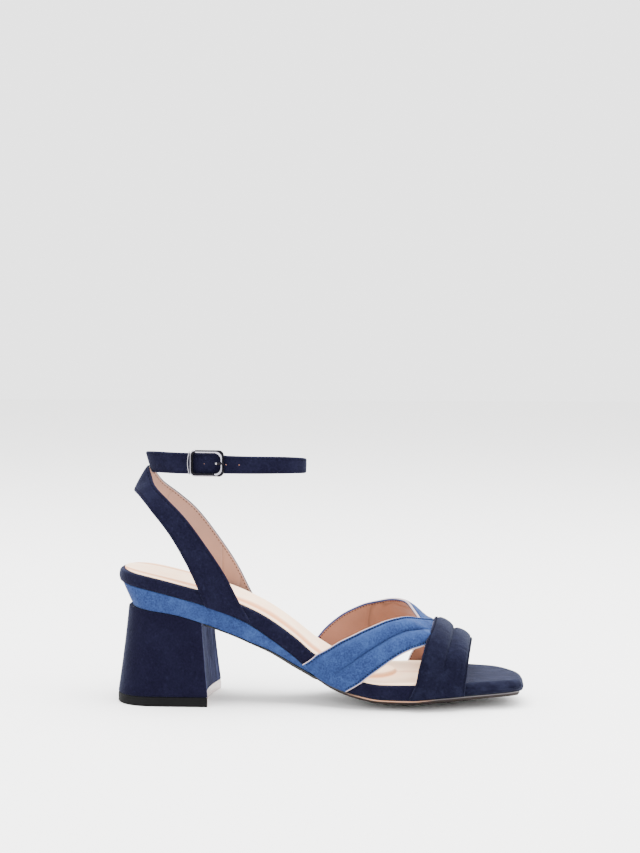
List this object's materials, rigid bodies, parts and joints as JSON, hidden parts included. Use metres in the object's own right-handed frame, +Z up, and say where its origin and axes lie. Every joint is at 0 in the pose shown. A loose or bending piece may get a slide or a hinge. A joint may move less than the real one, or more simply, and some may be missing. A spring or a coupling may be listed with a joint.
{
  "type": "block heel sandal",
  "caption": "Open-toe block heel sandal with crossed padded straps, a padded toe band, a heel sling and a buckled ankle strap; right shoe.",
  "frame": {"origin": "on the floor, at the middle of the heel's rubber top piece", "axes": "+X to the toe, +Y to the inner side of the foot, +Z up"},
  "size_m": [0.2403, 0.0855, 0.1498],
  "materials": {
    "navy_suede": "dark navy suede with a short nap",
    "blue_suede": "mid blue suede with a short nap",
    "sock_leather": "smooth cream leather, matt",
    "sole_rubber": "black rubber, satin",
    "gunmetal": "dark polished metal"
  },
  "bodies": {
    "root": {"midsole": "navy_suede", "insole": "sock_leather", "wedge": "blue_suede", "outsole": "sole_rubber", "heel_block": "navy_suede", "top_piece": "sole_rubber", "cross_straps": "blue_suede", "toe_band": "navy_suede", "heel_sling": "navy_suede", "ankle_strap": "navy_suede", "buckle_frame": "gunmetal", "buckle_prong": "gunmetal"}
  },
  "joints": []
}
